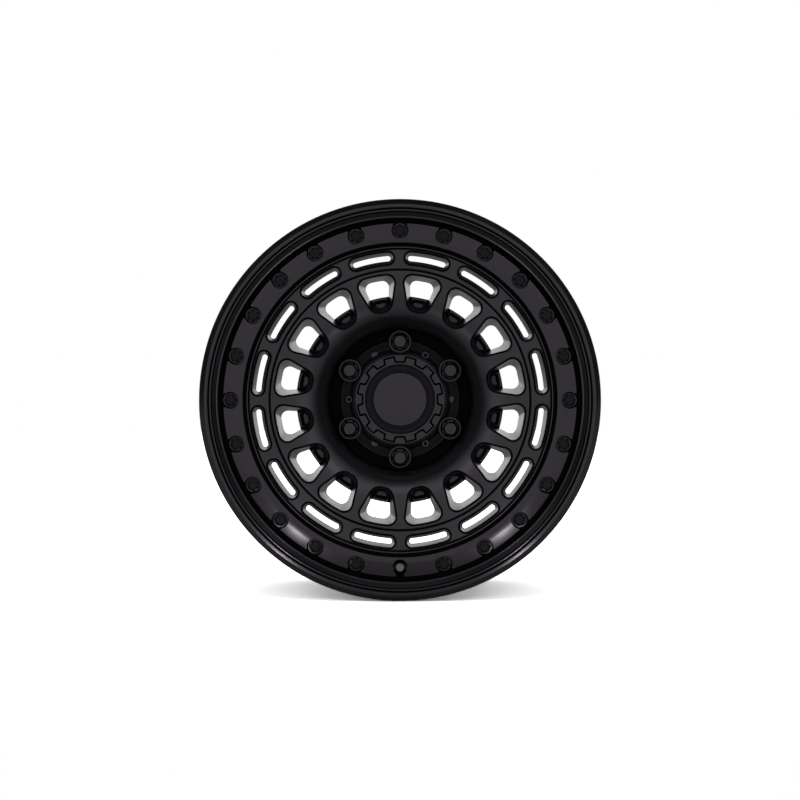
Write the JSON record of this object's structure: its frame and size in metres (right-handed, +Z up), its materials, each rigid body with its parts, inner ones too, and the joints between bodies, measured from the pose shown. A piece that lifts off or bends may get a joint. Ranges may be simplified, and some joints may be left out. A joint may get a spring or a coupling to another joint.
{
  "type": "car wheel",
  "caption": "Black alloy off-road car wheel with stepped lip, bolted ring look, slots and windows, lug nuts, centre cap and tyre valve.",
  "frame": {"origin": "on the wheel's axis in the plane of the hub mounting face", "axes": "the wheel turns about Y; the street side faces -Y, the hub side +Y; +Z is up and the valve is at the bottom"},
  "size_m": [0.4711, 0.2393, 0.4712],
  "materials": {
    "casting_paint": "black paint on cast aluminium, satin on the face and gloss on the ring and lip",
    "bolt_black": "black coated steel",
    "nut_black": "black coated steel, satin",
    "cap_matte": "satin black paint on moulded plastic",
    "cap_gloss": "black paint on moulded plastic, smoother than the plate",
    "rubber": "moulded black rubber",
    "brass": "turned brass",
    "spring_steel": "drawn steel wire",
    "valve_grey": "moulded dark grey plastic"
  },
  "bodies": {
    "wheel": {"wheel_casting": "casting_paint", "ring_bolts": "bolt_black", "lug_nuts": "nut_black", "cap_base": "cap_matte", "cap_screws": "bolt_black", "cap_ring": "cap_gloss", "cap_disc": "cap_matte", "valve_rubber": "rubber", "valve_tube": "brass", "core_body": "brass", "core_spring": "spring_steel"},
    "cap_lift": {"valve_cap_seal": "rubber"},
    "valve_cap": {"valve_cap": "valve_grey"},
    "core_pin": {"core_pin": "brass", "core_cup": "rubber"}
  },
  "joints": [
    {"name": "cap_rise", "type": "slide", "parent": "wheel", "child": "cap_lift", "axis": [0, -0.9703, 0.2419], "range_m": [0, 0.00873]},
    {"name": "cap_turn", "type": "hinge", "parent": "cap_lift", "child": "valve_cap", "pos_m": [0, -0.07065, -0.2059], "axis": [0, -0.9703, 0.2419], "range_deg": [0, 3960]},
    {"name": "pin_press", "type": "slide", "parent": "wheel", "child": "core_pin", "axis": [0, 0.9703, -0.2419], "range_m": [0, 0.0012], "stiffness_N_per_m": 800, "deforming": ["core_spring"]}
  ],
  "couplings": [
    {"joint": "cap_turn", "follows": "cap_rise", "rad_per_m": 7915.8}
  ]
}
